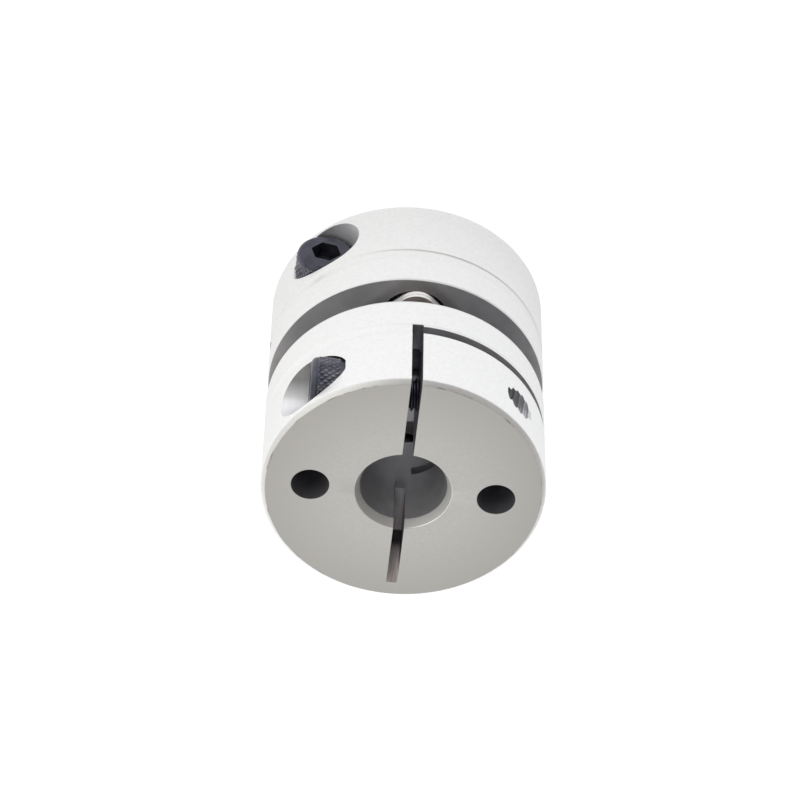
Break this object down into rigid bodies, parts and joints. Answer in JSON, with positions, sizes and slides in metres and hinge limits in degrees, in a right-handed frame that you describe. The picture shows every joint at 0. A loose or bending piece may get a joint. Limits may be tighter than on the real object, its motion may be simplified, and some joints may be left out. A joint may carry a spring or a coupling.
{
  "type": "single-disc flexible shaft coupling with clamp hubs",
  "caption": "Compact flexible coupling: two slit clamp hubs joined by a pack of square spring-steel leaves, each closed on its shaft by a socket screw.",
  "frame": {"origin": "centre of the lower hub's outer end face, on which the coupling stands", "axes": "+Z along the shaft axis to the upper hub; the upper hub's slit faces -Y and its clamp screw's head +X"},
  "size_m": [0.026, 0.026, 0.0265],
  "materials": {
    "anodised_aluminium": "bead blasted, clear anodised",
    "black_oxide_steel": "black oxide",
    "spring_steel": "bright rolled",
    "bright_steel": "turned"
  },
  "bodies": {
    "root": {"upper_hub": "anodised_aluminium", "upper_clamp_screw": "black_oxide_steel", "upper_disc_bolt_1": "black_oxide_steel", "upper_hub_collar_1": "bright_steel", "upper_head_collar_1": "bright_steel", "upper_disc_bolt_2": "black_oxide_steel", "upper_hub_collar_2": "bright_steel", "upper_head_collar_2": "bright_steel", "lower_hub": "anodised_aluminium", "lower_clamp_screw": "black_oxide_steel", "lower_disc_bolt_1": "black_oxide_steel", "lower_hub_collar_1": "bright_steel", "lower_head_collar_1": "bright_steel", "lower_disc_bolt_2": "black_oxide_steel", "lower_hub_collar_2": "bright_steel", "lower_head_collar_2": "bright_steel", "disc_leaf_1": "spring_steel", "disc_leaf_2": "spring_steel", "disc_leaf_3": "spring_steel", "disc_leaf_4": "spring_steel"}
  },
  "joints": []
}
